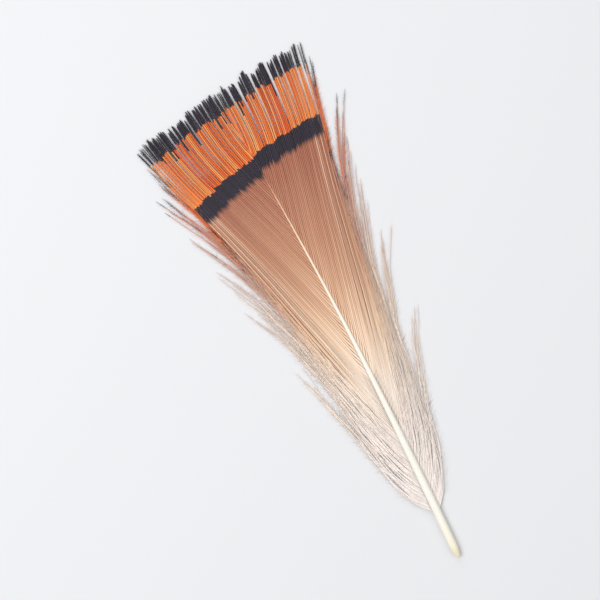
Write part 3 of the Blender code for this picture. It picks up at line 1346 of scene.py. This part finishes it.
@dataclass
class Barbules:
    """The fine barbules of one side: long ones on the downy loose barbs, short ones on the others' ends."""

    vane: Vane
    finish: bpy.types.Material
    corners: int = 3
    spacing: float = 0.27
    length: float = 0.68
    length_spread: tuple[float, float] = (0.5, 1.2)
    end_length: float = 0.4
    end_over: float = 8.0
    lean: float = 0.62
    lean_spread: tuple[float, float] = (0.7, 1.3)
    rise: float = 0.25
    root_half: float = 0.011
    tip_half: float = 0.003
    downy_length: float = 0.4
    tip_stretch: float = 2.6
    tip_spacing: float = 0.15
    tip_length: float = 0.42
    bare_root: float = 1.0
    bare_end: float = 0.6
    map_rows: int = 40
    seed: int = 5

    def add_to(self, strands: Strands, barb: Barb, chance: random.Random, start: float, spacing: float,
               longest: float) -> None:
        """Adds the barbules of one barb.

        Args:
            strands: The strands that take them.
            barb: The barb.
            chance: The source of chance.
            start: The height from which the barb has them.
            spacing: The distance between them.
            longest: The length of the longest.
        """
        stop = barb.end - (self.bare_end if barb.lock else 0.5 * spacing)
        y = np.linspace(start, stop, int((stop - start) / spacing))
        none = np.zeros((len(y), 1))
        middle = self.vane.places(barb, y, none, none)[:, 0]
        along = np.gradient(middle, axis=0)
        along /= np.linalg.norm(along, axis=1, keepdims=True)
        luck = self.vane.chance_along(barb, y)
        turns = 2.0 * math.pi * np.arange(self.corners) / self.corners
        middle_across = np.zeros(self.corners)
        for k, place in enumerate(middle):
            aside = np.array([along[k, 1], -along[k, 0], 0.0])
            for hand in (-1.0, 1.0):
                lean = self.lean * chance.uniform(*self.lean_spread)
                way = along[k] * math.cos(lean) + aside * (hand * math.sin(lean))
                way[2] += chance.uniform(-self.rise, self.rise)
                flat = np.array([way[1], -way[0], 0.0]) / math.hypot(way[0], way[1])
                upright = np.cross(flat, way)
                ring = np.cos(turns)[:, None] * flat + np.sin(turns)[:, None] * upright
                share = min(1.0, self.end_length + (barb.end - y[k]) / self.end_over)
                tip = place + way * longest * chance.uniform(*self.length_spread) * share
                rings = np.stack([place + ring * self.root_half, tip + ring * self.tip_half])
                rings[:, :, 2] = np.maximum(rings[:, :, 2], LEAST_HEIGHT)
                rings = self.vane.plan.world(rings)
                gap = np.repeat(self.vane.bar_gap(barb, y[k:k + 1]), 2)
                strands.add(rings, gap, middle_across, barb.strength, barb.bars, np.stack([luck[k]] * 2))

    def build(self) -> bpy.types.Object:
        """Builds the barbules' mesh and dresses it.

        Returns:
            The piece.
        """
        strands = Strands(self.map_rows)
        chance = random.Random(self.seed + self.vane.side.value)
        for barb in self.vane.loose:
            longest = self.length * (1.0 + self.downy_length * self.vane.plan.looseness(barb.root))
            self.add_to(strands, barb, chance, barb.root + self.bare_root, self.spacing, longest)
        for barb in self.vane.webbed:
            self.add_to(strands, barb, chance, barb.end - self.tip_stretch, self.tip_spacing, self.tip_length)
        name = f"barbules_{self.vane.side.name.lower()}"
        piece = bpy.data.objects.new(name, strands.mesh(name))
        bpy.context.scene.collection.objects.link(piece)
        piece.data.materials.append(self.finish)
        return piece


@dataclass
class Shaft:
    """The horn shaft, from the open end of the quill to a hair-thin point among the top barbs."""

    plan: Plan
    finish: bpy.types.Material
    sides: int = 18
    sections: int = 54
    upper_share: float = 0.10
    crown_share: float = 0.7
    thin_lift: float = 0.03
    mouth_share: float = 0.55
    mouth_depth: float = 0.7
    mouth_taper: float = 0.6
    same_place: float = 0.01
    least_half: float = 0.032
    end_heights: tuple[float, ...] = (0.0, 0.25, 0.6)
    bottom: float = 1.0
    top: float = 50.7
    smooth_angle: float = 40.0

    def section(self, y: float) -> tuple[Vector, float, float]:
        """Middle and half sizes of the shaft's section at the height y, in metres.

        Args:
            y: The height in millimetres.

        Returns:
            The middle, the half width and the half height.
        """
        plan = self.plan
        height = np.array(y)
        half = max(float(plan.shaft_half(height)), self.least_half)
        stout = min(2.0 * half / plan.shaft_width, 1.0)
        tall = 0.5 * plan.thickness * stout + self.crown_share * half
        z = float(plan.shaft_level(height)) + self.upper_share * half + self.thin_lift * (1.0 - stout)
        middle = plan.world(np.array([float(plan.shaft_x(height)), y, z]))
        return Vector(middle), half * MM, tall * MM

    def build(self) -> bpy.types.Object:
        """Extrudes the shaft section by section from a circle at the quill's end.

        Returns:
            The piece.
        """
        shares = np.linspace(0.0, 1.0, self.sections)
        heights = [*self.end_heights, *(self.bottom + (self.top - self.bottom) * shares)]
        bpy.ops.object.select_all(action="DESELECT")
        middle, half, tall = self.section(heights[0])
        bpy.ops.mesh.primitive_circle_add(
            vertices=self.sides, radius=half, fill_type="NGON",
            location=middle, rotation=(math.pi / 2, 0.0, 0.0),
        )
        piece = bpy.context.object
        piece.name = piece.data.name = "shaft"
        bpy.ops.object.transform_apply(location=True, rotation=True, scale=True)
        bpy.ops.object.mode_set(mode="EDIT")
        bpy.ops.mesh.select_mode(type="FACE")
        bpy.ops.mesh.select_all(action="SELECT")
        bpy.ops.transform.resize(value=(1.0, 1.0, tall / half), center_override=middle)
        for y in heights[1:]:
            last, wide, high = middle, half, tall
            middle, half, tall = self.section(y)
            step = middle - last
            bpy.ops.mesh.extrude_region_move(TRANSFORM_OT_translate={"value": step})
            bpy.ops.transform.resize(value=(half / wide, 1.0, tall / high), center_override=middle)
        self.open_quill()
        bpy.ops.mesh.select_all(action="SELECT")
        bpy.ops.mesh.normals_make_consistent(inside=False)
        bpy.ops.object.mode_set(mode="OBJECT")
        bpy.ops.object.shade_smooth_by_angle(angle=math.radians(self.smooth_angle))
        piece.data.materials.append(self.finish)
        return piece

    def open_quill(self) -> None:
        """Opens the end of the quill: its end face is inset and pushed in."""
        bpy.ops.mesh.select_all(action="DESELECT")
        mesh = bmesh.from_edit_mesh(bpy.context.object.data)
        start, half, _ = self.section(0.0)
        for face in mesh.faces:
            face.select = all(abs(v.co.y - start.y) < self.same_place * MM for v in face.verts)
        bmesh.update_edit_mesh(bpy.context.object.data)
        bpy.ops.mesh.inset(thickness=half * (1.0 - self.mouth_share), depth=0.0)
        push = Vector((0.0, self.mouth_depth * MM, 0.0))
        bpy.ops.mesh.extrude_region_move(TRANSFORM_OT_translate={"value": push})
        taper = (self.mouth_taper, 1.0, self.mouth_taper)
        bpy.ops.transform.resize(value=taper, center_override=start + push)


@dataclass
class Studio:
    """Plain floor, soft lights and a camera that looks straight down."""

    plan: Plan
    floor_size: float = 1200.0
    feather_turn: float = 27.6
    view_height: float = 58.5
    lens: float = 110.0
    sensor: float = 36.0
    nearest: float = 10.0
    centre_x: float = -2.1
    centre_y: float = 29.2
    room_colour: tuple[float, float, float, float] = (0.96, 0.98, 1.0, 1.0)
    room_strength: float = 0.46

    def build(self) -> None:
        """Sets the stage."""
        self.lay_floor()
        self.hang_light("key", (-0.16, 0.10, 0.30), 0.22, 0.86)
        self.hang_light("fill", (0.22, -0.08, 0.28), 0.30, 0.32)
        self.hang_light("rim", (0.04, 0.30, 0.16), 0.16, 0.20)
        self.light_world()
        self.aim_camera()
        bpy.context.scene.view_settings.view_transform = "Standard"

    def lay_floor(self) -> None:
        """Lays the floor at the height of zero."""
        bpy.ops.object.select_all(action="DESELECT")
        bpy.ops.mesh.primitive_plane_add(size=self.floor_size * MM, location=(0.0, 0.0, 0.0))
        floor = bpy.context.object
        floor.name = floor.data.name = "floor"
        floor.data.materials.append(FloorFinish().make())

    def hang_light(self, name: str, place: tuple[float, float, float], size: float, power: float) -> None:
        """Hangs a soft square light that faces the feather.

        Args:
            name: The light's name.
            place: Where it hangs, in metres.
            size: The length of its side, in metres.
            power: Its power in watts.
        """
        light = bpy.data.lights.new(name, "AREA")
        light.size = size
        light.energy = power
        lamp = bpy.data.objects.new(name, light)
        lamp.location = place
        lamp.rotation_euler = (-Vector(place)).to_track_quat("-Z", "Y").to_euler()
        bpy.context.scene.collection.objects.link(lamp)

    def light_world(self) -> None:
        """Gives the room an even pale light."""
        world = bpy.data.worlds.new("room")
        world.use_nodes = True
        background = world.node_tree.nodes["Background"]
        background.inputs["Color"].default_value = self.room_colour
        background.inputs["Strength"].default_value = self.room_strength
        bpy.context.scene.world = world

    def aim_camera(self) -> None:
        """Puts the camera straight above, turned so that the feather leans as it does in the picture."""
        camera = bpy.data.cameras.new("camera")
        camera.lens = self.lens
        camera.sensor_width = self.sensor
        distance = 0.5 * self.view_height * MM * self.lens / (0.5 * self.sensor)
        camera.clip_start = self.nearest * MM
        eye = bpy.data.objects.new("camera", camera)
        centre = self.plan.world(np.array([self.centre_x, self.centre_y, 0.0]))
        eye.matrix_world = (
            Matrix.Translation((centre[0], centre[1], distance))
            @ Matrix.Rotation(-math.radians(self.feather_turn), 4, "Z")
        )
        bpy.context.scene.collection.objects.link(eye)
        bpy.context.scene.camera = eye


def hand_over(piece: bpy.types.Object) -> None:
    """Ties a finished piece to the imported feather.

    Args:
        piece: The piece.
    """
    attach(piece, BODY)
    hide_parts(NODE)
    triangles = sum(len(face.vertices) - 2 for face in piece.data.polygons)
    log.info("%s: %d triangles", piece.name, triangles)


def main() -> None:
    """Builds the feather and its stage."""
    logging.basicConfig(level=logging.INFO, format="%(name)s: %(message)s")
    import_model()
    plan = Plan()
    horn = HornFinish("shaft_horn").make(plan)
    web = BarbFinish("barb_web").make(plan)
    hand_over(Shaft(plan, horn).build())
    for side in Side:
        vane = Vane(plan, side, web)
        hand_over(vane.build())
        hand_over(Barbules(vane, web).build())
    Studio(plan).build()


if __name__ == "__main__":
    main()
